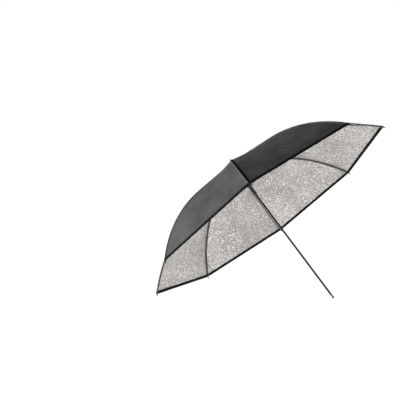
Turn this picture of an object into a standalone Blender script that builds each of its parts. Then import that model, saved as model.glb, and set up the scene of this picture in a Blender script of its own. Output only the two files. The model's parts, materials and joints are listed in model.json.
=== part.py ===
"""Photographic umbrella reflector, open, resting on two rib tips and the end of its shaft.

The umbrella is modelled in its own axes: the origin is the middle of the hem plane, +Z runs
along the shaft to the crown, and rib 1 stands half a gore round from +X. One empty then lays
it on the floor, which is world z = 0, with its hollow side towards -Y.
"""

from math import asin, atan2, cos, hypot, pi, radians, sin, tan

import bmesh
import bpy
from mathutils import Matrix, Vector

# Canopy
RIB_COUNT = 8
TIP_RADIUS = 0.520  # hem corner to shaft axis
CANOPY_RISE = 0.234  # hem plane to the top of the canopy
CONE_SLOPE = radians(14)  # the straight inner part of each rib, below the hem plane's direction
JOINT_RADIUS = 0.2236  # canopy radius over the stretcher joint, where the rib starts to bend
FABRIC_THICKNESS = 0.0005
CANOPY_HOLE_RADIUS = 0.0052
SEAM_HALF_GAP = 0.00025  # between a half gore and the plane of its rib or of its crease
BEND_STEPS = 8

# Shaft
SHAFT_RADIUS = 0.0035
SHAFT_BORE_RADIUS = 0.0027
SHAFT_BELOW_HEM = 0.392
SHAFT_ABOVE_CANOPY = 0.015
RUNNING_GAP = 0.0003

# Ribs: channels that are open towards the shaft
RIB_DROP = 0.0037  # canopy to the line through a rib's two pivots
RIB_WIDTH = 0.0040
RIB_OVER_PIVOTS = 0.0024  # that line to the channel's back
RIB_UNDER_PIVOTS = 0.0018  # that line to the edges of its walls
RIB_WALL = 0.0005
RIB_TONGUE_LENGTH = 0.008
RIB_SETBACK = 0.006  # end of the canopy to the end of the channel
TONGUE_THICKNESS = 0.0016
EYE_RADIUS = 0.0018
RIVET_RADIUS = 0.0007
RIVET_HOLE_RADIUS = 0.0010
RIVET_HEAD_RADIUS = 0.0017

# Hinge rings of the crown and of the runner
HINGE_RADIUS = 0.009
FLANGE_RADIUS = 0.011
SLOT_FLOOR_RADIUS = 0.0069
SLOT_WIDTH = 0.0024
WIRE_RADIUS = 0.0005
WIRE_HOLE_RADIUS = 0.0008
FOLD = radians(64)  # how far each rib swings from open to closed

# Stretchers: flat bars
STRETCHER_THICKNESS = 0.0018
STRETCHER_HALF_HEIGHT = 0.0015

# Rib tips
TIP_BALL_RADIUS = 0.0030
TIP_BALL_REACH = 0.005  # end of the canopy to the ball's centre
TIP_NECK_RADIUS = 0.0017
TIP_COLLAR_RADIUS = 0.0021
TIP_SHANK_RADIUS = 0.0010
TIP_SHANK_LENGTH = 0.008

# Shaft end: a plug in the tube's end, with a collar between its head and the tube
END_CAP_RADIUS = 0.0036
END_CAP_LENGTH = 0.0075  # of its head
END_CAP_ROUND = 0.0010
END_PLUG_RADIUS = 0.0024
END_PLUG_LENGTH = 0.018
END_RING_LENGTH = 0.0032
END_RING_RADIUS = 0.0038

# Runner and its catch
RUNNER_SLEEVE_RADIUS = 0.0060
RUNNER_GRIP_RADIUS = 0.0074
RUNNER_LENGTH = 0.040  # hinge ring to the lower end
KEYWAY_WIDTH = 0.0024
KEYWAY_DEPTH_RADIUS = 0.0051
CATCH_THICKNESS = 0.0016
CATCH_REACH = 0.0013  # how far it stands out of the shaft

MM = 0.001
UP = Vector((0, 0, 1))
HALF_GORE = pi / RIB_COUNT


# ---------------------------------------------------------------- shape of the canopy


def bend():
    """Turn, radius and start of the arc that carries each rib from its joint to the hem."""
    start_height = CANOPY_RISE - JOINT_RADIUS * tan(CONE_SLOPE)
    run = TIP_RADIUS - JOINT_RADIUS
    turn = 2 * (atan2(start_height, run) - CONE_SLOPE)
    radius = hypot(run, start_height) / (2 * sin(turn / 2))
    return turn, radius, start_height


def canopy_profile(turned):
    """Radius, height and slope of the canopy over a rib, part of the way round its bend."""
    turn, radius, start_height = bend()
    slope = CONE_SLOPE + turned
    r = JOINT_RADIUS + radius * (sin(slope) - sin(CONE_SLOPE))
    z = start_height + radius * (cos(slope) - cos(CONE_SLOPE))
    return r, z, slope


def canopy_stations():
    """Points of the canopy over a rib, from the hole round the shaft to the hem."""
    turn = bend()[0]
    inner = (CANOPY_HOLE_RADIUS, CANOPY_RISE - CANOPY_HOLE_RADIUS * tan(CONE_SLOPE), CONE_SLOPE)
    return [inner] + [canopy_profile(turn * i / BEND_STEPS) for i in range(BEND_STEPS + 1)]


def hinge_height():
    """Height of the ribs' hinge ring over the hem plane."""
    over_hinge = HINGE_RADIUS + RIB_DROP * sin(CONE_SLOPE)
    return CANOPY_RISE - over_hinge * tan(CONE_SLOPE) - RIB_DROP * cos(CONE_SLOPE)


def arm_length():
    """Hinge ring to stretcher joint along a rib, which is also each stretcher's length."""
    return (JOINT_RADIUS - RIB_DROP * sin(CONE_SLOPE) - HINGE_RADIUS) / cos(CONE_SLOPE)


def runner_height(folded=0):
    """Height of the runner's hinge ring when the ribs have swung by an angle."""
    return hinge_height() - 2 * arm_length() * sin(CONE_SLOPE + folded)


def rib_azimuth(k):
    """Azimuth of rib k, counted from 1."""
    return HALF_GORE + 2 * HALF_GORE * (k - 1)


def tip_ball_centre():
    """Radius and height of the middle of a rib tip's ball."""
    r, z, slope = canopy_profile(bend()[0])
    ball_r = r - RIB_DROP * sin(slope) + TIP_BALL_REACH * cos(slope)
    ball_z = z - RIB_DROP * cos(slope) - TIP_BALL_REACH * sin(slope)
    return ball_r, ball_z


def shaft_lift():
    """Angle of the shaft over the floor when two tips and the end cap's rim stand on it."""
    ball_r, ball_z = tip_ball_centre()
    across = ball_r * cos(HALF_GORE) - (END_CAP_RADIUS - END_CAP_ROUND)
    along = ball_z - (END_CAP_ROUND - SHAFT_BELOW_HEM)
    return atan2(across, along) + asin((TIP_BALL_RADIUS - END_CAP_ROUND) / hypot(across, along))


def swing(radius, height, angle):
    """Turn about a hinge that lies across the radius, as a matrix in that radius's axes."""
    there = Matrix.Translation((radius, 0, height))
    return there @ Matrix.Rotation(angle, 4, "Y") @ there.inverted()


def pleat_hinge(side):
    """Pivot, axis and angle of a half gore's turn about its rib, as the umbrella closes.

    They are in the axes of the rib's azimuth. side is 1 for the half gore on the +Y side.
    The hinge runs from the crown end of the seam to the hem's corner. The angle brings the
    crease's hem end from the open gore to the plane midway between two closed ribs.
    """
    pivot = Vector((HINGE_RADIUS, 0, CANOPY_RISE - HINGE_RADIUS * tan(CONE_SLOPE)))
    axis = side * (Vector((TIP_RADIUS, 0, 0)) - pivot).normalized()
    rib_turn = swing(HINGE_RADIUS, hinge_height(), FOLD)
    across = Vector((-sin(HALF_GORE), side * cos(HALF_GORE), 0))
    crease_end = Vector((TIP_RADIUS, 0, 0)) + TIP_RADIUS * sin(HALF_GORE) * across
    there = Matrix.Translation(pivot)
    low, high = 0.0, pi / 2
    for _ in range(50):
        middle = (low + high) / 2
        turn = there @ Matrix.Rotation(middle, 4, axis) @ there.inverted()
        if (rib_turn @ turn @ crease_end).dot(across) > 0:
            low = middle
        else:
            high = middle
    return pivot, axis, (low + high) / 2


# ---------------------------------------------------------------- building blocks


def clear_scene():
    for thing in list(bpy.data.objects):
        bpy.data.objects.remove(thing, do_unlink=True)


def material(name, colour, roughness, metallic):
    """A plain Principled material."""
    made = bpy.data.materials.new(name)
    made.use_nodes = True
    shader = made.node_tree.nodes["Principled BSDF"]
    shader.inputs["Base Color"].default_value = (*colour, 1)
    shader.inputs["Roughness"].default_value = roughness
    shader.inputs["Metallic"].default_value = metallic
    made.diffuse_color = (*colour, 1)
    return made


def mesh_from(bm, name, round_piece=False):
    """Turns a bmesh into a mesh with its faces pointing out."""
    bmesh.ops.recalc_face_normals(bm, faces=bm.faces)
    mesh = bpy.data.meshes.new(name)
    bm.to_mesh(mesh)
    bm.free()
    if round_piece:
        mesh.shade_smooth()
        mesh.set_sharp_from_angle(angle=radians(35))
    return mesh


def empty(name, parent, matrix):
    """A guide on a joint's axis."""
    made = bpy.data.objects.new(name, None)
    made.empty_display_size = 0.01
    bpy.context.collection.objects.link(made)
    made.parent = parent
    made.matrix_local = matrix
    return made


def piece(name, mesh, finish, parent, matrix=None):
    """A sub-part: one named object with its own mesh place and material."""
    made = bpy.data.objects.new(name, mesh)
    bpy.context.collection.objects.link(made)
    if not mesh.materials:
        mesh.materials.append(finish)
    made.parent = parent
    made.matrix_local = matrix or Matrix()
    return made


def turned(name, profile, segments, closed):
    """A turned piece: radius and height pairs, from pole to pole, or a closed loop if hollow."""
    bm = bmesh.new()
    rings = []
    for r, z in profile:
        if r < 1e-9:
            rings.append([bm.verts.new((0, 0, z))] * segments)
            continue
        angles = [2 * pi * i / segments for i in range(segments)]
        rings.append([bm.verts.new((r * cos(a), r * sin(a), z)) for a in angles])
    pairs = list(zip(rings, rings[1:]))
    if closed:
        pairs.append((rings[-1], rings[0]))
    for lower, upper in pairs:
        for i in range(segments):
            j = (i + 1) % segments
            corners = [lower[i], lower[j], upper[j], upper[i]]
            corners = [v for n, v in enumerate(corners) if v not in corners[:n]]
            bm.faces.new(corners)
    return mesh_from(bm, name, round_piece=True)


def plate(name, outline, thickness):
    """An outline in the XZ plane, extruded to both sides of it."""
    bm = bmesh.new()
    half = thickness / 2
    near = [bm.verts.new((x, -half, z)) for x, z in outline]
    far = [bm.verts.new((x, half, z)) for x, z in outline]
    bm.faces.new(near)
    bm.faces.new(reversed(far))
    for i in range(len(outline)):
        j = (i + 1) % len(outline)
        bm.faces.new([near[i], near[j], far[j], far[i]])
    return mesh_from(bm, name)


def box(name, low, high):
    """A box between two corners."""
    outline = [(low[0], low[2]), (high[0], low[2]), (high[0], high[2]), (low[0], high[2])]
    made = plate(name, outline, high[1] - low[1])
    made.transform(Matrix.Translation((0, (low[1] + high[1]) / 2, 0)))
    return made


def pin(name, radius, length, segments):
    """A cylinder along Y, with its middle at the origin."""
    outline = [
        (radius * cos(2 * pi * i / segments), radius * sin(2 * pi * i / segments))
        for i in range(segments)
    ]
    return plate(name, outline, length)


def joined(meshes, name):
    """Several closed meshes that don't meet, as one mesh."""
    bm = bmesh.new()
    for mesh in meshes:
        bm.from_mesh(mesh)
    return mesh_from(bm, name)


def combine(mesh, tool, operation, name):
    """The result of one exact boolean, as a mesh of its own."""
    base = bpy.data.objects.new(name + "_base", mesh)
    cutter = bpy.data.objects.new(name + "_tool", tool)
    cutter.hide_render = True
    cutter.display_type = "WIRE"
    for thing in (base, cutter):
        bpy.context.collection.objects.link(thing)
    modifier = base.modifiers.new("combine", "BOOLEAN")
    modifier.operation = operation
    modifier.solver = "EXACT"
    modifier.object = cutter
    bpy.context.view_layer.update()
    evaluated = base.evaluated_get(bpy.context.evaluated_depsgraph_get())
    result = bpy.data.meshes.new_from_object(evaluated)
    result.name = name
    for thing in (base, cutter):
        bpy.data.objects.remove(thing, do_unlink=True)
    return result


def placed(mesh, matrix):
    """The mesh itself, moved."""
    mesh.transform(matrix)
    return mesh


def arc(centre, radius, start, end, steps):
    """Points of an arc, both ends included, as pairs."""
    angles = [start + (end - start) * i / steps for i in range(steps + 1)]
    return [(centre[0] + radius * cos(a), centre[1] + radius * sin(a)) for a in angles]


# ---------------------------------------------------------------- the parts


def rib_mesh():
    """A channel with a flat tongue and eye at the crown, along +X from its hinge, bent to -Z."""
    arm = arm_length()
    turn, canopy_radius, _ = bend()
    radius = canopy_radius - RIB_DROP
    used = turn - RIB_SETBACK / canopy_radius
    path = [(RIB_TONGUE_LENGTH, 0, 0), (arm, 0, 0)]
    for i in range(1, BEND_STEPS + 1):
        a = used * i / BEND_STEPS
        path.append((arm + radius * sin(a), radius * (cos(a) - 1), a))
    half, low, high = RIB_WIDTH / 2, -RIB_UNDER_PIVOTS, RIB_OVER_PIVOTS
    inner, roof = half - RIB_WALL, high - RIB_WALL
    section = [
        (-half, high),
        (half, high),
        (half, low),
        (inner, low),
        (inner, roof),
        (-inner, roof),
        (-inner, low),
        (-half, low),
    ]
    bm = bmesh.new()
    rings = []
    for x, z, a in path:
        rings.append([bm.verts.new((x + n * sin(a), y, z + n * cos(a))) for y, n in section])
    for first, second in zip(rings, rings[1:]):
        for i in range(len(section)):
            j = (i + 1) % len(section)
            bm.faces.new([first[i], first[j], second[j], second[i]])
    for end in (rings[0], rings[-1]):
        bm.faces.new([end[0], end[1], end[4], end[5]])
        bm.faces.new([end[1], end[2], end[3], end[4]])
        bm.faces.new([end[5], end[6], end[7], end[0]])
    channel = mesh_from(bm, "rib_channel")
    back = high - RIB_WALL / 2
    eye = arc((0, 0), EYE_RADIUS, radians(90), radians(270), 8)
    reach = RIB_TONGUE_LENGTH + RIB_WIDTH
    outline = eye + [(reach, -EYE_RADIUS), (reach, back), (RIB_TONGUE_LENGTH, back)]
    tongue = plate("rib_tongue", outline, TONGUE_THICKNESS)
    rib = combine(channel, tongue, "UNION", "rib_with_tongue")
    holes = joined(
        [
            pin("wire_hole", WIRE_HOLE_RADIUS, 2 * RIB_WIDTH, 10),
            placed(
                pin("rivet_hole", RIVET_HOLE_RADIUS, 2 * RIB_WIDTH, 10),
                Matrix.Translation((arm, 0, 0)),
            ),
        ],
        "rib_holes",
    )
    return combine(rib, holes, "DIFFERENCE", "rib")


def stretcher_mesh():
    """A flat bar along +X, with an eye at each end."""
    arm = arm_length()
    outline = arc((0, 0), STRETCHER_HALF_HEIGHT, radians(90), radians(270), 8)
    outline += arc((arm, 0), STRETCHER_HALF_HEIGHT, radians(-90), radians(90), 8)
    bar = plate("stretcher_bar", outline, STRETCHER_THICKNESS)
    holes = joined(
        [
            pin("rivet_hole", RIVET_HOLE_RADIUS, 2 * RIB_WIDTH, 10),
            placed(
                pin("wire_hole", WIRE_HOLE_RADIUS, 2 * RIB_WIDTH, 10),
                Matrix.Translation((arm, 0, 0)),
            ),
        ],
        "stretcher_holes",
    )
    return combine(bar, holes, "DIFFERENCE", "stretcher")


def rivet_mesh():
    """A rivet through both walls of a rib, with a head on each side, along Y."""
    wall = RIB_WIDTH / 2 + RUNNING_GAP / 2
    head = wall + 0.6 * MM
    profile = [
        (0, -head),
        (RIVET_HEAD_RADIUS * 0.6, -head),
        (RIVET_HEAD_RADIUS, -wall),
        (RIVET_RADIUS, -wall),
        (RIVET_RADIUS, wall),
        (RIVET_HEAD_RADIUS, wall),
        (RIVET_HEAD_RADIUS * 0.6, head),
        (0, head),
    ]
    rivet = turned("stretcher_rivet", profile, 8, closed=False)
    return placed(rivet, Matrix.Rotation(pi / 2, 4, "X"))


def tip_mesh():
    """A ball-ended nib whose shank goes into the end of the channel, along +Z from that end."""
    ball = RIB_SETBACK + TIP_BALL_REACH
    start = atan2(TIP_NECK_RADIUS, -(TIP_BALL_RADIUS**2 - TIP_NECK_RADIUS**2) ** 0.5)
    round_end = arc((0, ball), TIP_BALL_RADIUS, start - pi / 2, pi / 2, 5)
    profile = [
        (0, -TIP_SHANK_LENGTH),
        (TIP_SHANK_RADIUS, -TIP_SHANK_LENGTH),
        (TIP_SHANK_RADIUS, RUNNING_GAP),
        (TIP_COLLAR_RADIUS, RUNNING_GAP),
        (TIP_COLLAR_RADIUS, 3 * MM),
        (TIP_NECK_RADIUS, 4 * MM),
    ]
    profile += [(r, z) for r, z in round_end[:-1]]
    profile.append((0, ball + TIP_BALL_RADIUS))
    return turned("rib_tip", profile, 10, closed=False)


def slots(name, low, high):
    """A star of eight blades that cuts the hinge slots of the crown or of the runner."""
    blades = []
    for k in range(1, RIB_COUNT + 1):
        half = SLOT_WIDTH / 2
        blade = box(name, (SLOT_FLOOR_RADIUS, -half, low), (2 * FLANGE_RADIUS, half, high))
        blades.append(placed(blade, Matrix.Rotation(rib_azimuth(k), 4, "Z")))
    return joined(blades, name)


def groove():
    """The groove round a hinge ring that holds its wire, as radius and height pairs."""
    depth = HINGE_RADIUS - WIRE_HOLE_RADIUS
    return [
        (FLANGE_RADIUS, WIRE_HOLE_RADIUS),
        (depth, WIRE_HOLE_RADIUS),
        (depth, -WIRE_HOLE_RADIUS),
        (FLANGE_RADIUS, -WIRE_HOLE_RADIUS),
    ]


def crown_mesh():
    """The notched ring under the canopy, about its own hinge ring."""
    bore = SHAFT_RADIUS + RUNNING_GAP
    top_inner, top_outer = 3.6 * MM, 2.3 * MM
    profile = [(bore, top_inner), (5 * MM, top_inner), (FLANGE_RADIUS, top_outer)]
    profile += groove()
    profile += [
        (FLANGE_RADIUS, -4.2 * MM),
        (6 * MM, -5 * MM),
        (5.6 * MM, -12 * MM),
        (bore, -12 * MM),
    ]
    ring = turned("crown_blank", profile, 24, closed=True)
    return combine(ring, slots("crown_slots", -8 * MM, 8 * MM), "DIFFERENCE", "crown")


def runner_mesh():
    """The sliding sleeve with its own notched flange, about its hinge ring."""
    bore = SHAFT_RADIUS + RUNNING_GAP
    end = -RUNNER_LENGTH
    profile = [(bore, 4.5 * MM), (10.5 * MM, 4.5 * MM), (FLANGE_RADIUS, 4 * MM)]
    profile += groove()
    profile += [
        (FLANGE_RADIUS, -4.5 * MM),
        (RUNNER_SLEEVE_RADIUS, -7.5 * MM),
        (RUNNER_SLEEVE_RADIUS, end + 6 * MM),
        (RUNNER_GRIP_RADIUS, end + 4.5 * MM),
        (RUNNER_GRIP_RADIUS, end + 1 * MM),
        (RUNNER_GRIP_RADIUS - 0.8 * MM, end),
        (bore, end),
    ]
    sleeve = turned("runner_blank", profile, 24, closed=True)
    notched = combine(sleeve, slots("runner_slots", -3.6 * MM, 8 * MM), "DIFFERENCE", "notched")
    half = KEYWAY_WIDTH / 2
    keyway = box("keyway", (0, -half, end - MM), (KEYWAY_DEPTH_RADIUS, half, 6 * MM))
    return combine(notched, keyway, "DIFFERENCE", "runner")


def wire_mesh(name):
    """A ring of wire that threads the eyes of a hinge ring."""
    section = [
        (HINGE_RADIUS + WIRE_RADIUS * cos(a), WIRE_RADIUS * sin(a))
        for a in (2 * pi * i / 6 for i in range(6))
    ]
    return turned(name, section, 24, closed=True)


def catch_top():
    """Height of the catch's holding face, just under the open runner."""
    return runner_height() - RUNNER_LENGTH - RUNNING_GAP


def shaft_tube_mesh():
    """The hollow shaft, with the catch's slot in its +X side."""
    bottom = END_CAP_LENGTH + END_RING_LENGTH + 2 * RUNNING_GAP - SHAFT_BELOW_HEM
    top = CANOPY_RISE + 3 * MM
    section = [
        (SHAFT_RADIUS, bottom),
        (SHAFT_RADIUS, top),
        (SHAFT_BORE_RADIUS, top),
        (SHAFT_BORE_RADIUS, bottom),
    ]
    tube = turned("shaft_blank", section, 24, closed=True)
    half = CATCH_THICKNESS / 2 + RUNNING_GAP
    low, high = catch_top() - 12.4 * MM, catch_top() + RUNNING_GAP
    slot = box("catch_slot", (0.5 * MM, -half, low), (2 * SHAFT_RADIUS, half, high))
    return combine(tube, slot, "DIFFERENCE", "shaft_tube")


def catch_mesh():
    """The wedge that holds the runner up, about the middle of its holding face's root."""
    inside = 2.2 * MM
    outside = SHAFT_RADIUS + CATCH_REACH
    outline = [
        (0, -16 * MM),
        (inside, -16 * MM),
        (inside, -12 * MM),
        (SHAFT_RADIUS - 0.1 * MM, -12 * MM),
        (outside, -2 * MM),
        (outside, 0),
        (inside, 0),
        (inside, 4 * MM),
        (0, 4 * MM),
    ]
    return plate("runner_catch", outline, CATCH_THICKNESS)


def top_cap_mesh():
    """The cap over the canopy's hole and the top of the shaft, about the canopy's top."""
    bore = SHAFT_RADIUS + RUNNING_GAP
    clear = 0.6 * MM
    flange = 9.0 * MM
    nib = 2.1 * MM
    profile = [
        (0, 3.3 * MM),
        (bore, 3.3 * MM),
        (bore, clear),
        (flange, clear - flange * tan(CONE_SLOPE)),
        (flange, -0.4 * MM),
        (8.4 * MM, 0.4 * MM),
        (5.2 * MM, 2.0 * MM),
        (4.6 * MM, 4.6 * MM),
        (3.0 * MM, 5.8 * MM),
        (nib, 7.5 * MM),
    ]
    profile += arc((0, SHAFT_ABOVE_CANOPY - nib), nib, 0, radians(70), 3)
    profile.append((0, SHAFT_ABOVE_CANOPY))
    return turned("top_cap", profile, 20, closed=False)


def ring_mesh(name, bore, radius, length, chamfer):
    """A plain collar, from height 0 up."""
    profile = [
        (bore, 0),
        (radius - chamfer, 0),
        (radius, chamfer),
        (radius, length - chamfer),
        (radius - chamfer, length),
        (bore, length),
    ]
    return turned(name, profile, 24, closed=True)


def end_cap_mesh():
    """The plug in the shaft's lower end, from its flat end up."""
    centre = (END_CAP_RADIUS - END_CAP_ROUND, END_CAP_ROUND)
    top = END_CAP_LENGTH + END_PLUG_LENGTH
    profile = [(0, top), (END_PLUG_RADIUS, top), (END_PLUG_RADIUS, END_CAP_LENGTH)]
    profile += [(END_CAP_RADIUS - 0.3 * MM, END_CAP_LENGTH)]
    profile += [(END_CAP_RADIUS, END_CAP_LENGTH - 0.6 * MM)]
    profile += arc(centre, END_CAP_ROUND, 0, -pi / 2, 5)
    profile.append((0, 0))
    return turned("end_cap", profile, 20, closed=False)


def half_gore_mesh(side):
    """Half a gore of fabric, from its rib to its crease, in the axes of the rib's azimuth."""
    chord = Vector((-sin(HALF_GORE), side * cos(HALF_GORE), 0))
    bm = bmesh.new()
    rows = []
    for r, z, slope in canopy_stations():
        down_rib = Vector((cos(slope), 0, -sin(slope)))
        down_crease = Vector((cos(slope) * cos(HALF_GORE), 0, -sin(slope)))
        down_crease = Matrix.Rotation(side * HALF_GORE, 3, "Z") @ down_crease
        row = []
        for along, down in (
            (SEAM_HALF_GAP / cos(HALF_GORE), down_rib),
            (r * sin(HALF_GORE) - SEAM_HALF_GAP, down_crease),
        ):
            normal = side * down.cross(chord).normalized()
            place = Vector((r, 0, z)) + along * chord
            for level in (-FABRIC_THICKNESS / 2, FABRIC_THICKNESS / 2):
                row.append(bm.verts.new(place + level * normal))
        rows.append([row[0], row[1], row[3], row[2]])
    for first, second in zip(rows, rows[1:]):
        for i in range(4):
            j = (i + 1) % 4
            bm.faces.new([first[i], first[j], second[j], second[i]])
    bm.faces.new(rows[0])
    bm.faces.new(rows[-1])
    bmesh.ops.triangulate(bm, faces=bm.faces)
    return mesh_from(bm, "half_gore")


# ---------------------------------------------------------------- the assembly


def pleat_frame(side):
    """Where a half gore's pleat hinge is, in its rib's azimuth axes, with Z along the hinge."""
    pivot, axis, _ = pleat_hinge(side)
    return Matrix.Translation(pivot) @ UP.rotation_difference(axis).to_matrix().to_4x4()


def make_umbrella():
    """Every sub-part, under one empty at the middle of the hem plane."""
    steel = {
        "shaft": material("shaft_black", (0.03, 0.03, 0.032), 0.35, 0.6),
        "rib": material("rib_steel", (0.42, 0.42, 0.42), 0.4, 0.9),
        "stretcher": material("stretcher_steel", (0.42, 0.42, 0.42), 0.4, 0.9),
        "bright": material("bright_steel", (0.62, 0.62, 0.63), 0.3, 1.0),
    }
    plastic = {
        "hub": material("hub_plastic", (0.02, 0.02, 0.02), 0.45, 0.0),
        "tip": material("tip_plastic", (0.02, 0.02, 0.02), 0.4, 0.0),
        "cap": material("cap_plastic", (0.02, 0.02, 0.02), 0.5, 0.0),
    }
    fabric = material("silver_fabric", (0.55, 0.54, 0.52), 0.45, 0.5)

    umbrella = empty("umbrella_axes", None, Matrix())
    hinge_at = Matrix.Translation((0, 0, hinge_height()))
    shaft_end = Matrix.Translation((0, 0, -SHAFT_BELOW_HEM))
    ring_at = Matrix.Translation((0, 0, END_CAP_LENGTH + RUNNING_GAP - SHAFT_BELOW_HEM))
    stop_at = Matrix.Translation((0, 0, runner_height() + 4.5 * MM + RUNNING_GAP))
    catch_at = Matrix.Translation((0, 0, catch_top()))
    top_at = Matrix.Translation((0, 0, CANOPY_RISE))

    piece("shaft_tube", shaft_tube_mesh(), steel["shaft"], umbrella)
    piece("top_cap", top_cap_mesh(), plastic["cap"], umbrella, top_at)
    piece("crown", crown_mesh(), plastic["hub"], umbrella, hinge_at)
    piece("crown_wire", wire_mesh("crown_wire"), steel["bright"], umbrella, hinge_at)
    stop = ring_mesh("runner_stop", SHAFT_RADIUS + RUNNING_GAP, 5.5 * MM, 4 * MM, 0.5 * MM)
    piece("runner_stop", stop, steel["bright"], umbrella, stop_at)
    piece("end_cap", end_cap_mesh(), plastic["cap"], umbrella, shaft_end)
    end_ring = ring_mesh(
        "end_ring", SHAFT_BORE_RADIUS, END_RING_RADIUS, END_RING_LENGTH, 0.3 * MM
    )
    piece("end_ring", end_ring, steel["bright"], umbrella, ring_at)
    piece("runner_catch", catch_mesh(), steel["bright"], umbrella, catch_at)

    rib = rib_mesh()
    tip = tip_mesh()
    rivet = rivet_mesh()
    stretcher = stretcher_mesh()
    gores = {side: half_gore_mesh(side) for side in (-1, 1)}
    arm = arm_length()
    turn, canopy_radius, _ = bend()
    used = turn - RIB_SETBACK / canopy_radius
    rib_end = Matrix.Translation(
        (
            arm + (canopy_radius - RIB_DROP) * sin(used),
            0,
            (canopy_radius - RIB_DROP) * (cos(used) - 1),
        )
    ) @ Matrix.Rotation(pi / 2 + used, 4, "Y")
    at_joint = Matrix.Translation((arm, 0, 0))
    to_runner = Matrix.Rotation(pi - 2 * CONE_SLOPE, 4, "Y")
    pivots = {}
    for k in range(1, RIB_COUNT + 1):
        azimuth = Matrix.Rotation(rib_azimuth(k), 4, "Z")
        hinge = Matrix.Translation((HINGE_RADIUS, 0, hinge_height()))
        hinge = hinge @ Matrix.Rotation(CONE_SLOPE, 4, "Y")
        rib_pivot = empty(f"rib_pivot_{k}", umbrella, azimuth @ hinge)
        piece(f"rib_{k}", rib, steel["rib"], rib_pivot)
        piece(f"rib_tip_{k}", tip, plastic["tip"], rib_pivot, rib_end)
        piece(f"stretcher_rivet_{k}", rivet, steel["bright"], rib_pivot, at_joint)
        pivots[k] = empty(f"stretcher_pivot_{k}", rib_pivot, at_joint @ to_runner)
        piece(f"stretcher_{k}", stretcher, steel["stretcher"], pivots[k])
        for side, gore, half in ((1, k, "left"), (-1, (k - 2) % RIB_COUNT + 1, "right")):
            frame = pleat_frame(side)
            pleat = empty(f"pleat_pivot_{gore}_{half}", rib_pivot, hinge.inverted() @ frame)
            piece(f"gore_{gore}_{half}", gores[side], fabric, pleat, frame.inverted())

    upright = at_joint @ Matrix.Rotation(CONE_SLOPE - pi, 4, "Y")
    runner_pivot = empty("runner_pivot", pivots[1], upright)
    centred = Matrix.Translation((-HINGE_RADIUS, 0, 0)) @ Matrix.Rotation(-rib_azimuth(1), 4, "Z")
    piece("runner", runner_mesh(), plastic["hub"], runner_pivot, centred)
    piece("runner_wire", wire_mesh("runner_wire"), steel["bright"], runner_pivot, centred)
    return umbrella


def lay_on_floor(umbrella):
    """Leans the umbrella on two rib tips and its shaft's end, with its box's base at the origin."""
    lift = shaft_lift()
    axes = Matrix(((0, -1, 0), (sin(lift), 0, cos(lift)), (-cos(lift), 0, sin(lift))))
    umbrella.matrix_world = axes.to_4x4()
    bpy.context.view_layer.update()
    corners = [
        thing.matrix_world @ vertex.co
        for thing in bpy.data.objects
        if thing.type == "MESH"
        for vertex in thing.data.vertices
    ]
    low = Vector(min(corner[i] for corner in corners) for i in range(3))
    high = Vector(max(corner[i] for corner in corners) for i in range(3))
    base = Vector(((low.x + high.x) / 2, (low.y + high.y) / 2, low.z))
    umbrella.matrix_world = Matrix.Translation(-base) @ axes.to_4x4()
    bpy.context.view_layer.update()


clear_scene()
lay_on_floor(make_umbrella())
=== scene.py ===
"""Looks of the umbrella reflector: cloth, seams, hem, and a material for every part of its frame."""

import json
from math import atan2, cos, hypot, pi, radians, sin, tan

import bpy
import numpy as np
from mathutils import Matrix, Vector


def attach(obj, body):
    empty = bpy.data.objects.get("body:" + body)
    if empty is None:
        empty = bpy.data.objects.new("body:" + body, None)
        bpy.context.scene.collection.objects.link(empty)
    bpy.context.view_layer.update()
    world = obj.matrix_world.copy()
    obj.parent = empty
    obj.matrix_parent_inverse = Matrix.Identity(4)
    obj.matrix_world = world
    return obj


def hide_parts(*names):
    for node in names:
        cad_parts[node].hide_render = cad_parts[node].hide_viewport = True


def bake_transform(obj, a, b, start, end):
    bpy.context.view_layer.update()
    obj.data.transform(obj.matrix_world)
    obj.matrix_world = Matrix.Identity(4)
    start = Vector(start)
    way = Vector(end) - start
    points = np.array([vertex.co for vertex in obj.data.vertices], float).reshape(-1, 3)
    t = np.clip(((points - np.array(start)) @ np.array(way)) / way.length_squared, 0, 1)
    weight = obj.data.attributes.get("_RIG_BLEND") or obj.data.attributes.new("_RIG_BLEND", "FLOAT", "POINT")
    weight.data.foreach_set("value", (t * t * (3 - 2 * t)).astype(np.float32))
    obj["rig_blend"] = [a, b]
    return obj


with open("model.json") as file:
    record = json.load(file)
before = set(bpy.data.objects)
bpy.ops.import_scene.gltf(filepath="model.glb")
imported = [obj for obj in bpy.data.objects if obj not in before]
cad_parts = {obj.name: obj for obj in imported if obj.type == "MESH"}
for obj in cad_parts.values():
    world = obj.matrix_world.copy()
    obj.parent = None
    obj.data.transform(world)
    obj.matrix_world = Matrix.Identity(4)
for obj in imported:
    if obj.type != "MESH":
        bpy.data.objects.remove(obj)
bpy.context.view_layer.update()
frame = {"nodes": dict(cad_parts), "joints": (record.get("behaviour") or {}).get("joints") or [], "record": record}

# Canopy, as in the part
RIB_COUNT = 8
TIP_RADIUS = 0.520
CANOPY_RISE = 0.234
CONE_SLOPE = radians(14)
JOINT_RADIUS = 0.2236
SHAFT_BELOW_HEM = 0.392
HALF_GORE = pi / RIB_COUNT

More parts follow.
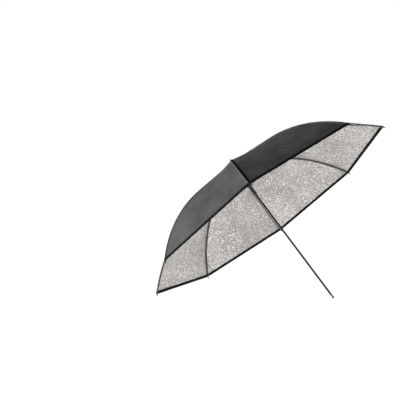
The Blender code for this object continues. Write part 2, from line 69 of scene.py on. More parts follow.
# Cloth
HOLE_ALONG = 0.0125  # top of the canopy to the cloth's inner edge, along a rib
CLOTH_HALF = 0.00018
SAG = 0.0065  # the most that the cloth between two ribs sinks in
SAG_LOW, SAG_CURVE = 1.35, 1.3  # how near the hem it sinks most, and how sharply it does
CREASE = 0.0011  # height of the fold mark down the middle of a gore
CREASE_WIDTH = 0.009
CREASE_LOW, CREASE_CURVE = 0.8, 0.5  # the same for the height of that mark along the gore
CREASE_EDGE = 1.2  # power of the distance from it at which it fades out
CREASE_HIGHLIGHT_HALF = 0.0034  # half the width of the pale line painted along it as a highlight
PANEL_SHIFT = 0.7  # between the patterns of two gores
ROWS, COLUMNS = 72, 24
ROW_CROWDING, COLUMN_CROWDING = 0.35, 0.6  # how much closer together they are near the edges
HEM_WIDTH = 0.0100
HEM_LIFT = 0.0016
HEM_INSIDE = 0.5  # its height inside, of that outside
HEM_THINNED = 0.020  # how near the crease it starts to thin, so that the closed halves clear each other
HEM_SKIN = 0.00027  # the least that its inner side stands off the cloth's middle
HEM_STITCHES_AT = 0.0075  # from the cloth's edge
STITCH_HALF_WIDTH = 0.0006
HEM_PAST = 0.0020  # how far the binding reaches past the cloth
SEAM_HALF_WIDTH = 0.0060
SEAM_START = 0.0135  # top of the canopy to its inner end, along the rib
SEAM_PAST = 0.0006  # how far it reaches past the cloth
SEAM_MOST_SHARE = 0.34  # of a half gore's width, where that is narrow
SEAM_LIFT = 0.0011
TAPE_HALF_WIDTH = 0.0064
TAPE_HALF_GAP = 0.0004
TAPE_START = 0.03
TAPE_SHORT = 0.004  # of the cloth's edge
TAPE_LIFT = 0.00028
SEAM_ROWS, TAPE_ROWS = 70, 60
WEAVE_PITCH = 0.0009
HEM_TAPE_PITCH = 0.0007
SEAM_TAPE_PITCH = 0.0008
SEAM_HOLD = 0.0064  # half the width of cloth that stays flat on its rib as the gore folds
FOLD_FREE = 0.0240  # distance from a rib where the fold is free of it
CREASE_GAP = 0.0006  # from a closed gore's crease to the plane midway between its ribs
ROSETTE_INNER = 0.0042
ROSETTE_OUTER = 0.0160
ROSETTE_BEVEL = 0.0008
ROSETTE_SOLE, ROSETTE_EDGE, ROSETTE_TOP = 0.00022, 0.00035, 0.0005  # heights over the canopy

# Studio
SWEEP_HALF = 30.0
SWEEP_GLOW = 1.08
SWEEP_SHADE = 0.06
SWEEP_BOUNCE = 0.85
WALL_TOP = radians(20), radians(46)  # where the white wall starts to fade, and where it is gone
WALL_HEADING = radians(50)  # the brighter side of the wall, clockwise from +Y
WALL_LIGHT = 0.25, 0.45  # on its darker and its brighter side
ROOF_LIGHT = 0.03
# A softbox's place, target, diameter and watts
KEY_SOFTBOX = (-2.4, -1.4, 0.45), (0, 0.1, 0.3), 1.0, 22
SIDE_SOFTBOX = (-1.2, 2.5, 0.90), (0, 0, 0.4), 1.5, 125
CAMERA_PLACE = -2.368, -1.045, 0.5175
CAMERA_HEADING = radians(60.53)  # clockwise from +Y
CAMERA_PITCH = radians(-3.58)
CAMERA_ROLL = radians(1.58)
CAMERA_LENS = 62.9  # mm, on a sensor 36 mm wide


# ---------------------------------------------------------------- shape of the cloth

START_HEIGHT = CANOPY_RISE - JOINT_RADIUS * tan(CONE_SLOPE)
BEND_TURN = 2 * (atan2(START_HEIGHT, TIP_RADIUS - JOINT_RADIUS) - CONE_SLOPE)
BEND_RADIUS = hypot(TIP_RADIUS - JOINT_RADIUS, START_HEIGHT) / (2 * sin(BEND_TURN / 2))
STRAIGHT = JOINT_RADIUS / cos(CONE_SLOPE)
RIB_LENGTH = STRAIGHT + BEND_RADIUS * BEND_TURN


def mount(name):
    return next(m for m in frame["record"]["mounts"] if m["name"] == name)


def joint(name):
    return next(j for j in frame["joints"] if j["name"] == name)


def umbrella_axes():
    """The umbrella's own axes in the frame: Z up the shaft, X between ribs 8 and 1, hem plane at 0."""
    end = mount("shaft_end")
    z = -Vector(end["axis"]).normalized()
    hinges = [Vector(joint(f"rib_{k}_fold")["pos_m"]) for k in range(1, RIB_COUNT + 1)]
    crown = sum(hinges, Vector()) / RIB_COUNT
    x = (hinges[0] + hinges[-1]) / 2 - crown
    x = (x - z * x.dot(z)).normalized()
    place = Matrix((x, z.cross(x), z)).transposed().to_4x4()
    place.translation = Vector(end["pos_m"]) + z * SHAFT_BELOW_HEM
    return place


AXES = umbrella_axes()


def rib_plane(k):
    """Axes of rib k's azimuth: X out along the rib, Z up the shaft."""
    return AXES @ Matrix.Rotation(HALF_GORE * (2 * k - 1), 4, "Z")


def profile(along):
    """Radius, height and slope of the cloth over a rib, at a distance along it from the top."""
    along = np.asarray(along, float)
    slope = CONE_SLOPE + np.maximum(0, along - STRAIGHT) / BEND_RADIUS
    inner = np.minimum(along, STRAIGHT)
    r = inner * cos(CONE_SLOPE) + BEND_RADIUS * (np.sin(slope) - sin(CONE_SLOPE))
    z = CANOPY_RISE - inner * sin(CONE_SLOPE) + BEND_RADIUS * (np.cos(slope) - cos(CONE_SLOPE))
    return r, z, slope


def cloth(side, along, share, lift=0.0):
    """Points of a half gore in its rib's azimuth axes.

    along runs down the rib and share from 0 at the rib to 1 at the crease. side is 1 for the
    half gore on the +Y side of its rib. lift is a height over the middle of the cloth.
    """
    along, share = np.broadcast_arrays(np.asarray(along, float), np.asarray(share, float))
    r, z, slope = profile(along)
    chord = np.array([-sin(HALF_GORE), side * cos(HALF_GORE), 0])
    across = share * r * sin(HALF_GORE)
    points = np.stack([r, 0 * r, z], -1) + across[..., None] * chord
    run = np.stack([np.cos(slope), 0 * slope, -np.sin(slope)], -1)
    run = run + (share * np.cos(slope) * sin(HALF_GORE))[..., None] * chord
    normal = side * np.cross(run, chord)
    normal = normal / np.linalg.norm(normal, axis=-1, keepdims=True)
    down = np.clip(along / RIB_LENGTH, 0, 1)
    hollow = np.sin(pi * down**SAG_LOW) ** SAG_CURVE * (1 - (1 - share) ** 2)
    from_crease = (1 - share) * r * sin(HALF_GORE)
    ridge = np.exp(-((from_crease / CREASE_WIDTH) ** CREASE_EDGE))
    mark = ridge * np.sin(pi * down**CREASE_LOW) ** CREASE_CURVE
    offset = lift - SAG * hollow + CREASE * mark
    return points + offset[..., None] * normal


def seam_share(along, distance):
    """The share of a half gore's width at a distance from its rib, at most about a third."""
    r = profile(along)[0]
    return np.minimum(distance / (r * sin(HALF_GORE)), SEAM_MOST_SHARE)


def hinge(name, place):
    """Pivot, axis and closed angle of a joint, in the axes that place gives."""
    found = joint(name)
    pivot = place.inverted() @ Vector(found["pos_m"])
    axis = place.inverted().to_3x3() @ Vector(found["axis"])
    return np.array(pivot), np.array(axis.normalized()), radians(max(found["range_deg"]))


RIB_HINGE = hinge("rib_1_fold", rib_plane(1))
PLEAT_HINGE = hinge("pleat_1_left_fold", rib_plane(1))


def turned(arms, axis, angles):
    """Vectors turned about an axis, each by its own angle."""
    c, s = np.cos(angles)[..., None], np.sin(angles)[..., None]
    return arms * c + np.cross(axis, arms) * s + axis * (arms @ axis)[..., None] * (1 - c)


def turn_into(points, normal, on):
    """Angle about the pleat's hinge that brings each point into the plane through on."""
    pivot, axis, _ = PLEAT_HINGE
    arms = points - pivot
    held = (arms @ axis)[..., None] * axis
    rest = np.sum(normal * (held + pivot - on), -1)
    level = np.sum(normal * (arms - held), -1)
    upright = np.sum(normal * np.cross(axis, arms), -1)
    reach = np.maximum(np.hypot(level, upright), 1e-12)
    return np.arctan2(upright, level) + np.arccos(np.clip(-rest / reach, -1, 1))


def middle_plane():
    """The plane midway between two closed ribs, seen from a closed rib: its normal and a point."""
    pivot, axis, angle = RIB_HINGE
    normal = np.array([-sin(HALF_GORE), cos(HALF_GORE), 0])
    on = -CREASE_GAP * normal
    back = np.array(-angle)
    return turned(normal, axis, back), turned(on - pivot, axis, back) + pivot


def fold_weight(along, share):
    """How far each point of a half gore follows its pleat's hinge, 0 staying with its rib.

    Closed, the crease lies midway between two ribs, and the cloth runs straight from rib to crease.
    """
    along, share = np.broadcast_arrays(np.asarray(along, float), np.asarray(share, float))
    pivot, axis, closed = PLEAT_HINGE
    rib = cloth(1, along, 0 * share)
    crease = cloth(1, along, 0 * share + 1)
    crease = turned(crease - pivot, axis, turn_into(crease, *middle_plane())) + pivot
    slope = profile(along)[2]
    run = np.stack([np.cos(slope), 0 * slope, -np.sin(slope)], -1)
    angles = turn_into(cloth(1, along, share), np.cross(crease - rib, run), rib)
    half = profile(along)[0] * sin(HALF_GORE)
    hold = np.minimum(SEAM_HOLD, 0.36 * half)
    free = np.minimum(FOLD_FREE, 0.9 * half)
    t = np.clip((share * half - hold) / (free - hold), 0, 1)
    return t * t * (3 - 2 * t) * np.maximum(angles, 0) / closed


# ---------------------------------------------------------------- building blocks


def in_frame(points, place):
    matrix = np.array(place)
    return points @ matrix[:3, :3].T + matrix[:3, 3]


def mesh_object(name, points, faces, uvs, finishes, face_finish=None, smooth=True):
    """An object from points, faces and one UV pair for each point."""
    mesh = bpy.data.meshes.new(name)
    mesh.from_pydata(points.reshape(-1, 3).tolist(), [], faces)
    for finish in finishes:
        mesh.materials.append(finish)
    corners = np.empty(len(mesh.loops), np.int32)
    mesh.loops.foreach_get("vertex_index", corners)
    layer = mesh.uv_layers.new(name="UVMap")
    layer.data.foreach_set("uv", uvs.reshape(-1, 2)[corners].astype(np.float32).ravel())
    if face_finish is not None:
        mesh.polygons.foreach_set("material_index", face_finish)
    mesh.polygons.foreach_set("use_smooth", [smooth] * len(mesh.polygons))
    mesh.validate()
    made = bpy.data.objects.new(name, mesh)
    bpy.context.scene.collection.objects.link(made)
    return made


def grid_faces(rows, columns, start=0, flip=False):
    """Quads of a grid of points, row by row."""
    faces = []
    for i in range(rows - 1):
        for j in range(columns - 1):
            a = start + i * columns + j
            quad = (a, a + columns, a + columns + 1, a + 1)
            faces.append(quad[::-1] if flip else quad)
    return faces


def tube_faces(rows, columns, flip):
    """Faces of a closed tube whose section runs down the rows, with a lid on each end."""
    near = tuple(i * columns for i in range(rows))
    far = tuple(i * columns + columns - 1 for i in range(rows))
    lids = [near[::-1], far] if flip else [near, far[::-1]]
    last = (rows - 1) * columns
    quads = [(j, j + 1, last + j + 1, last + j) for j in range(columns - 1)]
    if flip:
        quads = [quad[::-1] for quad in quads]
    return grid_faces(rows, columns, 0, flip) + lids + quads


def border(rows, columns):
    """Indices of a grid's border, once round."""
    top = list(range(columns))
    right = [i * columns + columns - 1 for i in range(1, rows)]
    bottom = [(rows - 1) * columns + j for j in range(columns - 2, -1, -1)]
    left = [i * columns for i in range(rows - 2, 0, -1)]
    return top + right + bottom + left


def shell(name, outer, inner, uv, finishes, flip=False, smooth=True):
    """A closed sheet from two grids of points. Its outer side has the first finish."""
    rows, columns = outer.shape[:2]
    count = rows * columns
    faces = grid_faces(rows, columns, 0, flip) + grid_faces(rows, columns, count, not flip)
    kinds = [0] * ((rows - 1) * (columns - 1)) + [1] * ((rows - 1) * (columns - 1))
    edge = border(rows, columns)
    for a, b in zip(edge, edge[1:] + edge[:1]):
        quad = (a, b, b + count, a + count)
        faces.append(quad[::-1] if flip else quad)
        kinds.append(0)
    points = np.concatenate([outer.reshape(-1, 3), inner.reshape(-1, 3)])
    uvs = np.concatenate([uv.reshape(-1, 2)] * 2)
    return mesh_object(name, points, faces, uvs, finishes, kinds, smooth)


def follow(thing, rib, pleat, weights, side, k):
    """Bends a piece of cloth between its rib and its pleat, with its own weights."""
    place = rib_plane(k)
    start = in_frame(cloth(side, RIB_LENGTH, 0.0), place)
    end = in_frame(cloth(side, RIB_LENGTH, 1.0), place)
    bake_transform(thing, rib, pleat, start=tuple(start), end=tuple(end))
    attribute = thing.data.attributes["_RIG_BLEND"]
    attribute.data.foreach_set("value", np.asarray(weights, np.float32).ravel())


# ---------------------------------------------------------------- materials


def add_node(tree, kind, sockets=None, **settings):
    """A new shader node, with its settings, and a value or a link for each of some sockets."""
    made = tree.nodes.new("ShaderNode" + kind)
    for key, value in settings.items():
        setattr(made, key, value)
    for key, value in (sockets or {}).items():
        if isinstance(value, bpy.types.NodeSocket):
            tree.links.new(value, made.inputs[key])
        else:
            made.inputs[key].default_value = value
    return made


class Finish:
    """A material under construction: a Principled shader and short ways to add nodes to it."""

    def __init__(self, name, **settings):
        self.material = bpy.data.materials.new(name)
        self.material.use_nodes = True
        self.tree = self.material.node_tree
        self.shader = self.tree.nodes["Principled BSDF"]
        for socket, value in settings.items():
            self.shader.inputs[socket.replace("_", " ")].default_value = value

    def node(self, kind, sockets=None, **settings):
        return add_node(self.tree, kind, sockets, **settings)

    def link(self, output, socket):
        self.tree.links.new(output, self.shader.inputs[socket])

    def place(self, source="UV"):
        return self.node("TexCoord").outputs[source]

    def scaled(self, source, scale):
        return self.node("Mapping", {"Vector": source, "Scale": scale}).outputs["Vector"]

    def noise(self, where, scale, detail=2.0, roughness=0.5):
        sockets = {"Vector": where, "Scale": scale, "Detail": detail, "Roughness": roughness}
        return self.node("TexNoise", sockets).outputs["Fac"]

    def bands(self, where, pitch, direction):
        """Waves about one pitch apart."""
        sockets = {"Vector": where, "Scale": 1 / (pi * pitch)}
        return self.node("TexWave", sockets, bands_direction=direction).outputs["Fac"]

    def remap(self, value, low, high, to_low, to_high):
        sockets = {"Value": value, 1: low, 2: high, 3: to_low, 4: to_high}
        return self.node("MapRange", sockets).outputs["Result"]

    def colours(self, value, stops):
        """A colour ramp: pairs of position and colour."""
        ramp = self.node("ValToRGB", {"Fac": value})
        points = ramp.color_ramp.elements
        while len(points) < len(stops):
            points.new(0.5)
        for point, (position, colour) in zip(points, stops):
            point.position = position
            point.color = (*colour, 1)
        return ramp.outputs["Color"]

    def mix(self, sockets):
        """Two colours mixed by a factor."""
        made = self.node("Mix", data_type="RGBA")
        for key, kind in (("Factor", "VALUE"), ("A", "RGBA"), ("B", "RGBA")):
            socket = next(i for i in made.inputs if i.name == key and i.type == kind and i.enabled)
            if isinstance(sockets[key], bpy.types.NodeSocket):
                self.tree.links.new(sockets[key], socket)
            else:
                socket.default_value = sockets[key]
        return next(o for o in made.outputs if o.enabled)

    def math(self, operation, a, b=0.0):
        return self.node("Math", {0: a, 1: b}, operation=operation).outputs["Value"]

    def total(self, *terms):
        """Sum of values, each multiplied by its own factor."""
        value, factor = terms[0]
        result = self.math("MULTIPLY", value, factor)
        for value, factor in terms[1:]:
            result = self.math("ADD", result, self.math("MULTIPLY", value, factor))
        return result

    def bump(self, height, distance, strength=1.0, under=None):
        sockets = {"Height": height, "Distance": distance, "Strength": strength}
        if under is not None:
            sockets["Normal"] = under
        return self.node("Bump", sockets).outputs["Normal"]


def weave(finish, where):
    """Height of a plain weave whose threads run along U and V."""
    threads = [finish.bands(where, WEAVE_PITCH, direction) for direction in ("X", "Y")]
    return finish.math("MAXIMUM", *threads)


def painted_crease_highlight(finish, where):
    """How much a painted highlight lightens the cloth along the fold in the middle of its gore, in patches."""
    across = finish.node("SeparateXYZ", {0: where}).outputs["X"]
    off_crease = finish.math("PINGPONG", across, PANEL_SHIFT / 2)
    line = finish.remap(off_crease, 0.0, CREASE_HIGHLIGHT_HALF, 1.0, 0.0)
    crease_highlight_patches = finish.remap(finish.noise(where, 26.0, 2.0, 0.5), 0.42, 0.56, 0.2, 1.0)
    return finish.math("MULTIPLY", line, crease_highlight_patches)


def black_cloth():
    """Matt woven nylon, with the ripples and flecks of a stretched cover."""
    finish = Finish("black_cloth", Specular_IOR_Level=0.25)
    where = finish.place()
    cloud = finish.noise(where, 9.0, 4.0, 0.6)
    flecks = finish.noise(finish.scaled(where, (260, 150, 1)), 1.0, 3.0, 0.65)
    # the crease term paints a highlight along the fold in the middle of the gore
    tone = finish.total((cloud, 0.35), (flecks, 0.65), (painted_crease_highlight(finish, where), 0.10))
    finish.link(
        finish.colours(tone, [(0.40, (0.010, 0.010, 0.010)), (0.60, (0.064, 0.064, 0.0635))]),
        "Base Color",
    )
    finish.link(finish.remap(flecks, 0.35, 0.65, 0.66, 0.80), "Roughness")
    ripples = finish.noise(finish.scaled(where, (30, 9, 1)), 1.0, 3.0, 0.5)
    soft = finish.bump(ripples, 0.0034, 0.6)
    puckers = finish.bump(flecks, 0.0005, 0.6, soft)
    finish.link(finish.bump(weave(finish, where), 0.00008, 0.6, puckers), "Normal")
    return finish.material


def silver_cloth():
    """Silver-coated lining, crinkled into shallow pebbles, with glints painted near white on some of them as
    highlights.
    """
    finish = Finish("silver_cloth", Metallic=0.6, Roughness=0.42)
    where = finish.place()
    warp = finish.node("TexNoise", {"Vector": where, "Scale": 90.0, "Detail": 2.0})
    bent = finish.node(
        "VectorMath", {0: warp.outputs["Color"], "Scale": 0.006}, operation="SCALE"
    ).outputs["Vector"]
    bent = finish.node("VectorMath", {0: where, 1: bent}, operation="ADD").outputs["Vector"]
    cells = finish.node("TexVoronoi", {"Vector": bent, "Scale": 270.0}, feature="F1")
    edges = finish.node("TexVoronoi", {"Vector": bent, "Scale": 270.0}, feature="DISTANCE_TO_EDGE")
    cell_tone = finish.node("SeparateColor", {"Color": cells.outputs["Color"]}).outputs["Red"]
    painted_glint_cells = finish.node("TexVoronoi", {"Vector": bent, "Scale": 150.0}, feature="F1")
    painted_glint_pick = finish.node("SeparateColor", {"Color": painted_glint_cells.outputs["Color"]}).outputs["Green"]
    blots = finish.noise(where, 85.0, 3.0, 0.6)
    grain = finish.noise(where, 230.0, 3.0, 0.6)
    cloud = finish.noise(where, 7.0, 4.0, 0.6)
    rough_places = finish.noise(finish.scaled(where, (9, 4, 1)), 1.0, 3.0, 0.6)
    patch = finish.remap(rough_places, 0.42, 0.6, 0.15, 1.0)
    speck = finish.math("MULTIPLY", finish.math("SUBTRACT", grain, 0.5), patch)
    # painted highlight along the fold in the middle of the gore
    crease_highlight_patches = painted_crease_highlight(finish, where)
    tone = finish.total((speck, 5.4), (cell_tone, 0.3), (cloud, 0.6), (blots, 0.6), (crease_highlight_patches, 0.45))
    body = finish.colours(
        tone,
        [
            (0.22, (0.095, 0.090, 0.085)),
            (0.75, (0.405, 0.387, 0.367)),
            (1.00, (0.76, 0.733, 0.698)),
        ],
    )
    # painted highlights: some cells get a near-white base colour as glints
    painted_glint = finish.remap(painted_glint_pick, 0.78, 0.82, 0.0, 1.0)
    middle = finish.remap(painted_glint_cells.outputs["Distance"], 0.35, 0.65, 1.0, 0.0)
    painted_glint = finish.math("MULTIPLY", painted_glint, middle)
    painted_glint = finish.math("MULTIPLY", painted_glint, patch)
    sockets = {"Factor": painted_glint, "A": body, "B": (0.95, 0.93, 0.90, 1)}
    finish.link(finish.mix(sockets), "Base Color")
    finish.link(finish.remap(cell_tone, 0.0, 1.0, 0.50, 0.30), "Roughness")
    pebbles = finish.remap(edges.outputs["Distance"], 0.0, 0.35, 0.0, 1.0)
    height = finish.total((pebbles, 0.6), (grain, 1.6))
    ripples = finish.noise(finish.scaled(where, (26, 8, 1)), 1.0, 3.0, 0.55)
    soft = finish.bump(ripples, 0.0034, 0.8)
    finish.link(finish.bump(height, 0.0009, 1.0, soft), "Normal")
    return finish.material


def tape(name, colour, pitch):
    """Ribbed binding tape."""
    finish = Finish(name, Roughness=0.9, Specular_IOR_Level=0.1)
    where = finish.place()
    ribs = finish.bands(where, pitch, "X")
    fuzz = finish.noise(where, 1500.0, 2.0, 0.6)
    dark = tuple(0.6 * c for c in colour)
    finish.link(finish.colours(fuzz, [(0.35, dark), (0.7, colour)]), "Base Color")
    height = finish.math("ADD", ribs, fuzz)
    finish.link(finish.bump(height, 0.00015, 0.8), "Normal")
    return finish.material


def seam_cloth():
    """The cloth over a rib: painted shade makes the seam's groove black, and painted highlights make its raised
    edges paler.
    """
    finish = Finish("seam_cloth", Roughness=0.5, Specular_IOR_Level=0.4)
    where = finish.place()
    across = finish.math("ABSOLUTE", finish.node("SeparateXYZ", {0: where}).outputs["X"])
    edge = finish.remap(across, 0.45 * SEAM_HALF_WIDTH, 0.85 * SEAM_HALF_WIDTH, 0.0, 1.0)
    # near black in the groove is painted shade; the paler edges are painted highlight
    stops = [(0.0, (0.002, 0.002, 0.002)), (0.45, (0.004, 0.004, 0.004)), (1.0, (0.06, 0.06, 0.058))]
    finish.link(finish.colours(edge, stops), "Base Color")
    finish.link(finish.remap(edge, 0.0, 1.0, 0.9, 0.45), "Roughness")
    finish.link(finish.remap(edge, 0.0, 1.0, 0.0, 0.5), "Specular IOR Level")
    finish.link(finish.bump(weave(finish, where), 0.0001, 0.7), "Normal")
    return finish.material


def painted_steel(name):
    """Black paint over steel: satin, a little uneven, with the odd rubbed speck."""
    finish = Finish(name, Roughness=0.45, Specular_IOR_Level=0.35)
    where = finish.place("Object")
    cloud = finish.noise(where, 60.0, 4.0, 0.6)
    specks = finish.noise(where, 700.0, 3.0, 0.7)
    rubbed = finish.remap(specks, 0.70, 0.78, 0.0, 1.0)
    finish.link(
        finish.colours(rubbed, [(0.0, (0.005, 0.005, 0.005)), (1.0, (0.06, 0.06, 0.06))]),
        "Base Color",
    )
    finish.link(finish.remap(cloud, 0.3, 0.7, 0.36, 0.54), "Roughness")
    finish.link(finish.bump(specks, 0.00004, 0.5), "Normal")
    return finish.material


def bright_steel(name, tone, roughness):
    """Zinc-plated steel with fine drawing lines."""
    finish = Finish(name, Metallic=1.0, Roughness=roughness)
    where = finish.place("Object")
    lines = finish.noise(finish.scaled(where, (900, 900, 90)), 1.0, 3.0, 0.6)
    dull, clean = (0.75 * tone,) * 3, (1.1 * tone, 1.1 * tone, 1.12 * tone)
    finish.link(finish.colours(lines, [(0.3, dull), (0.7, clean)]), "Base Color")
    finish.link(finish.remap(lines, 0.3, 0.7, roughness - 0.08, roughness + 0.12), "Roughness")
    finish.link(finish.bump(lines, 0.00003, 0.5), "Normal")
    return finish.material


def moulded_plastic(name, roughness):
    """Black moulded plastic with a fine spark-eroded texture."""
    finish = Finish(name, Roughness=roughness)
    where = finish.place("Object")
    grain = finish.noise(where, 2200.0, 2.0, 0.5)
    cloud = finish.noise(where, 120.0, 3.0, 0.6)
    finish.link(
        finish.colours(cloud, [(0.3, (0.011, 0.011, 0.012)), (0.7, (0.024, 0.024, 0.025))]),
        "Base Color",
    )
    finish.link(finish.remap(cloud, 0.3, 0.7, roughness - 0.08, roughness + 0.1), "Roughness")
    finish.link(finish.bump(grain, 0.00008, 0.6), "Normal")
    return finish.material


def for_camera(finish, seen, lit):
    """Shows one shader to the camera and another to the light that bounces about."""
    ray = finish.node("LightPath").outputs["Is Camera Ray"]
    mix = finish.node("MixShader", {0: ray, 1: lit, 2: seen}).outputs["Shader"]
    output = finish.tree.nodes["Material Output"]
    finish.tree.links.new(mix, output.inputs["Surface"])


def floor_finish():
    """White sweep, burnt out for the camera but for a trace of shadow."""
    finish = Finish("floor_paper", Roughness=0.85, Specular_IOR_Level=0.1)
    finish.shader.inputs["Base Color"].default_value = (0.85, 0.85, 0.85, 1)
    glow = finish.node("Emission", {"Strength": SWEEP_GLOW}).outputs["Emission"]
    body = finish.shader.outputs["BSDF"]
    seen = finish.node("MixShader", {0: SWEEP_SHADE, 1: glow, 2: body}).outputs["Shader"]
    part_glow = finish.node("Emission", {"Strength": SWEEP_BOUNCE}).outputs["Emission"]
    lit = finish.node("AddShader", {0: body, 1: part_glow}).outputs["Shader"]
    for_camera(finish, seen, lit)
    return finish.material


# ---------------------------------------------------------------- the pieces


def spread(count, crowd):
    """Shares from 0 to 1, closer together near both ends."""
    t = np.linspace(0, 1, count)
    return (1 - crowd) * t + crowd * (0.5 - 0.5 * np.cos(pi * t))


def half_gore(gore, half, k, side, finishes, hem_finish):
    """The cloth of half a gore and the binding on its hem."""
    along = HOLE_ALONG + (RIB_LENGTH - HOLE_ALONG) * spread(ROWS, ROW_CROWDING)
    share = spread(COLUMNS, COLUMN_CROWDING)
    a, b = np.meshgrid(along, share, indexing="ij")
    place = rib_plane(k)
    outer = in_frame(cloth(side, a, b, CLOTH_HALF), place)
    inner = in_frame(cloth(side, a, b, -CLOTH_HALF), place)
    from_crease = side * (b - 1) * profile(a)[0] * sin(HALF_GORE)
    uv = np.stack([from_crease + PANEL_SHIFT * gore, a], -1)
    panel = shell(f"cloth_{gore}_{half}", outer, inner, uv, finishes, flip=side < 0)
    weights = np.tile(fold_weight(a, b).ravel(), 2)
    rib, pleat = f"rib_{k}", f"pleat_{gore}_{half}"
    follow(panel, rib, pleat, weights, side, k)
    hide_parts(f"gore_{gore}_{half}")
    hem = hem_binding(gore, half, k, side, hem_finish)


def hem_binding(gore, half, k, side, finish):
    """Tape folded over the hem of half a gore, with a row of stitches sunk into it."""
    back = RIB_LENGTH - HEM_WIDTH
    stitches = RIB_LENGTH - HEM_STITCHES_AT
    section = [
        (back, CLOTH_HALF * 0.5),
        (back, HEM_LIFT * 0.8),
        (stitches - STITCH_HALF_WIDTH, HEM_LIFT),
        (stitches, HEM_LIFT * 0.55),
        (stitches + STITCH_HALF_WIDTH, HEM_LIFT),
        (RIB_LENGTH, HEM_LIFT),
        (RIB_LENGTH + HEM_PAST, 0.0),
    ]
    section += [(s, -HEM_INSIDE * h) for s, h in section[-2::-1]]
    share = spread(COLUMNS, COLUMN_CROWDING)[None, :]
    s = np.array([p[0] for p in section])[:, None]
    h = np.array([p[1] for p in section])[:, None]
    to_crease = (1 - share) * TIP_RADIUS * sin(HALF_GORE)
    thin = np.minimum(to_crease / HEM_THINNED, 1)
    h = np.where(h < -HEM_SKIN, np.minimum(h * thin, -HEM_SKIN), h)
    a, b = np.broadcast_arrays(s, share)
    points = in_frame(cloth(side, a, b, h), rib_plane(k))
    across = side * b * profile(a)[0] * sin(HALF_GORE)
    uv = np.stack([across, a], -1)
    rows, columns = points.shape[:2]
    faces = tube_faces(rows, columns, side < 0)
    hem = mesh_object(f"hem_{gore}_{half}", points, faces, uv, [finish])
    hem.data.set_sharp_from_angle(angle=radians(50))
    follow(hem, f"rib_{k}", f"pleat_{gore}_{half}", fold_weight(a, b), side, k)
    return hem


def strip(k, across, lifts, along):
    """Points and UVs of a strip along rib k: distances from the rib, and heights over the cloth."""
    rows = []
    uvs = []
    for distance, lift in zip(across, lifts):
        side = 1 if distance >= 0 else -1
        rows.append(cloth(side, along, seam_share(along, abs(distance)), lift))
        uvs.append(np.stack([0 * along + distance, along], -1))
    return in_frame(np.stack(rows, 1), rib_plane(k)), np.stack(uvs, 1)


def outer_seam(k, finish):
    """The felled seam over a rib: two raised edges with a groove between them."""
    along = np.linspace(SEAM_START, RIB_LENGTH + SEAM_PAST, SEAM_ROWS)
    across = SEAM_HALF_WIDTH * np.array([-1, -0.86, -0.5, -0.24, -0.1, 0.1, 0.24, 0.5, 0.86, 1])
    top = CLOTH_HALF + SEAM_LIFT * np.array([0.1, 0.9, 1.0, 0.8, 0.15, 0.15, 0.8, 1.0, 0.9, 0.1])
    outer, uv = strip(k, across, top, along)
    inner, _ = strip(k, across, 0 * top, along)
    seam = shell(f"seam_{k}", outer, inner, uv, [finish, finish])
    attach(seam, f"rib_{k}")


def inner_tape(k, side, finish):
    """Half of the seam's turned edges on the inside, beside the rib; its dark colour is painted shade of the rib.
    """
    along = np.linspace(TAPE_START, RIB_LENGTH - TAPE_SHORT, TAPE_ROWS)
    across = side * np.linspace(TAPE_HALF_GAP, TAPE_HALF_WIDTH, 4)
    low = -CLOTH_HALF - TAPE_LIFT * np.array([1, 1, 1, 0.6])
    outer, uv = strip(k, across, 0 * low - CLOTH_HALF * 0.5, along)
    inner, _ = strip(k, across, low, along)
    word = "left" if side > 0 else "right"
    band = shell(f"tape_{k}_{word}", outer, inner, uv, [finish, finish], flip=side < 0)
    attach(band, f"rib_{k}")


def rosette(finish):
    """The round patch of cloth between the canopy and its cap."""
    shoulder = ROSETTE_OUTER - ROSETTE_BEVEL
    radius = np.array([ROSETTE_INNER, 0.0100, shoulder, ROSETTE_OUTER])[:, None]
    top = np.array([ROSETTE_TOP, ROSETTE_TOP, ROSETTE_TOP, ROSETTE_EDGE])[:, None]
    turn = np.linspace(0, 2 * pi, 49)[None, :]
    rings = []
    for lift in (top, ROSETTE_SOLE):
        height = CANOPY_RISE - radius * tan(CONE_SLOPE) + lift
        rings.append(np.stack([radius * np.cos(turn), radius * np.sin(turn), height + 0 * turn], -1))
    uv = rings[0][..., :2]
    patch = shell("rosette", *(in_frame(ring, AXES) for ring in rings), uv, [finish, finish])
    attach(patch, "shaft")


def canopy():
    finishes = [black_cloth(), silver_cloth()]
    hem_finish = tape("hem_tape", (0.004, 0.004, 0.004), HEM_TAPE_PITCH)
    seam_finish = seam_cloth()
    # the inner tape's dark colour is painted shade beside each rib
    rib_shade_tape_finish = tape("inner_tape", (0.115, 0.108, 0.101), SEAM_TAPE_PITCH)
    for gore in range(1, RIB_COUNT + 1):
        half_gore(gore, "left", gore, 1, finishes, hem_finish)
        half_gore(gore, "right", gore % RIB_COUNT + 1, -1, finishes, hem_finish)
    rosette(hem_finish)
    for k in range(1, RIB_COUNT + 1):
        outer_seam(k, seam_finish)
        for side in (1, -1):
            inner_tape(k, side, rib_shade_tape_finish)


def dress_frame():
    """Materials for the parts that are shown as they are."""
    by_slot = {
        "shaft": painted_steel("shaft_paint"),
        "ribs": bright_steel("rib_steel", 0.40, 0.36),
        "stretchers": bright_steel("stretcher_steel", 0.40, 0.36),
        "bright_metal": bright_steel("bright_steel", 0.62, 0.26),
        "hubs": moulded_plastic("hub_plastic", 0.42),
        "caps": moulded_plastic("cap_plastic", 0.48),
        "tips": moulded_plastic("tip_plastic", 0.36),
    }
    slots = {entry["node"]: entry["material_slot"] for entry in frame["record"]["subparts"]}
    for name, thing in frame["nodes"].items():
        finish = by_slot.get(slots[name])
        if finish is None:
            continue
        for place in thing.material_slots:
            place.material = finish


# ---------------------------------------------------------------- stage, light and camera


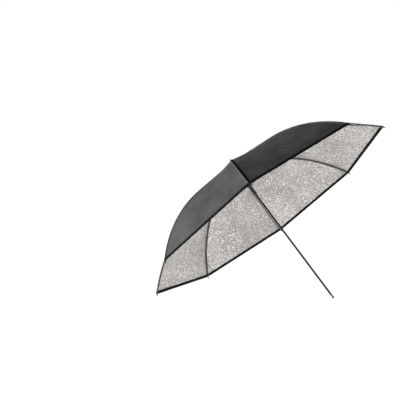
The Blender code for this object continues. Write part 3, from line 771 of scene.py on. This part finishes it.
def studio():
    """A white wall round the foot of the studio, under a dark roof. The camera sees only white."""
    world = bpy.data.worlds.new("studio")
    world.use_nodes = True
    tree = world.node_tree
    place = add_node(tree, "TexCoord").outputs["Generated"]
    height = add_node(tree, "SeparateXYZ", {"Vector": place}).outputs["Z"]
    low, high = (sin(angle) for angle in WALL_TOP)
    sockets = {"Value": height, "From Min": low, "From Max": high, "To Min": 1.0, "To Max": 0.0}
    wall = add_node(tree, "MapRange", sockets).outputs["Result"]
    sockets = {0: place, 1: (sin(WALL_HEADING), cos(WALL_HEADING), 0)}
    towards = add_node(tree, "VectorMath", sockets, operation="DOT_PRODUCT").outputs["Value"]
    dim, bright = WALL_LIGHT
    sockets = {"Value": towards, "From Min": -1.0, "To Min": dim, "To Max": bright}
    side = add_node(tree, "MapRange", sockets).outputs["Result"]
    sockets = {0: wall, 1: side, 2: ROOF_LIGHT}
    light = add_node(tree, "Math", sockets, operation="MULTIPLY_ADD").outputs["Value"]
    ray = add_node(tree, "LightPath").outputs["Is Camera Ray"]
    seen = add_node(tree, "Mix", {"Factor": ray, "A": light, "B": 1.0}).outputs["Result"]
    backdrop = tree.nodes["Background"]
    tree.links.new(seen, backdrop.inputs["Strength"])
    backdrop.inputs["Color"].default_value = (1, 1, 1, 1)
    bpy.context.scene.world = world


def stage():
    size = SWEEP_HALF
    points = np.array([[-size, -size, 0], [size, -size, 0], [size, size, 0], [-size, size, 0]])
    floor = mesh_object("floor", points, [(0, 1, 2, 3)], points[:, :2], [floor_finish()])
    bpy.context.scene.view_settings.view_transform = "Standard"


def softbox(name, place, target, size, power):
    light = bpy.data.lights.new(name, "AREA")
    light.shape = "DISK"
    light.size = size
    light.energy = power
    made = bpy.data.objects.new(name, light)
    made.location = place
    toward = Vector(target) - Vector(place)
    made.rotation_euler = toward.to_track_quat("-Z", "Y").to_euler()
    bpy.context.scene.collection.objects.link(made)


def camera():
    """A short telephoto a little over half a metre up, which looks at the umbrella's side."""
    lens = bpy.data.cameras.new("camera")
    lens.sensor_width = 36.0
    lens.lens = CAMERA_LENS
    made = bpy.data.objects.new("camera", lens)
    turn = Matrix.Rotation(-CAMERA_HEADING, 4, "Z") @ Matrix.Rotation(pi / 2 + CAMERA_PITCH, 4, "X")
    turn = turn @ Matrix.Rotation(-CAMERA_ROLL, 4, "Z")
    made.matrix_world = Matrix.Translation(CAMERA_PLACE) @ turn
    bpy.context.scene.collection.objects.link(made)
    bpy.context.scene.camera = made


camera()
studio()
stage()
softbox("key", *KEY_SOFTBOX)
softbox("side", *SIDE_SOFTBOX)
canopy()
dress_frame()
